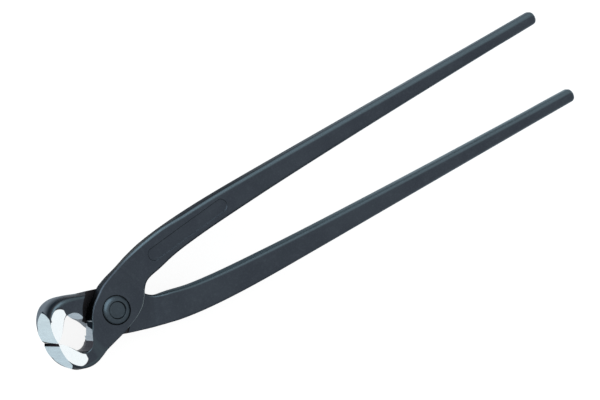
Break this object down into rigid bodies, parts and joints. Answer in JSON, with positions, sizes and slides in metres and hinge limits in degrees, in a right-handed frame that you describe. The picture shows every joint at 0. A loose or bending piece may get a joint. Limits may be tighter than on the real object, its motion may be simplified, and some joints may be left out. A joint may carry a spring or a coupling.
{
  "type": "end cutting nippers",
  "caption": "Long-handled end-cutting nippers for twisting and cutting tying wire: forged levers in a riveted lap joint, with ground jaws.",
  "frame": {"origin": "centre of the closed tool's bounding box, on the plane where the two levers meet", "axes": "+X from the jaws to the handle tips, +Y towards the handle of the front lever, +Z along the rivet towards its dished head"},
  "size_m": [0.2802, 0.0466, 0.0222],
  "materials": {
    "front_lever": "black oiled forging, jaw ground bright",
    "rear_lever": "black oiled forging, jaw ground bright",
    "rivet": "black oiled"
  },
  "bodies": {
    "front": {"front_lever": "front_lever", "rivet": "rivet"},
    "rear": {"rear_lever": "rear_lever"}
  },
  "joints": [
    {"name": "rivet_hinge", "type": "hinge", "parent": "front", "child": "rear", "pos_m": [-0.10701, 0, 0], "axis": [0, 0, -1], "range_deg": [0, 30]}
  ]
}
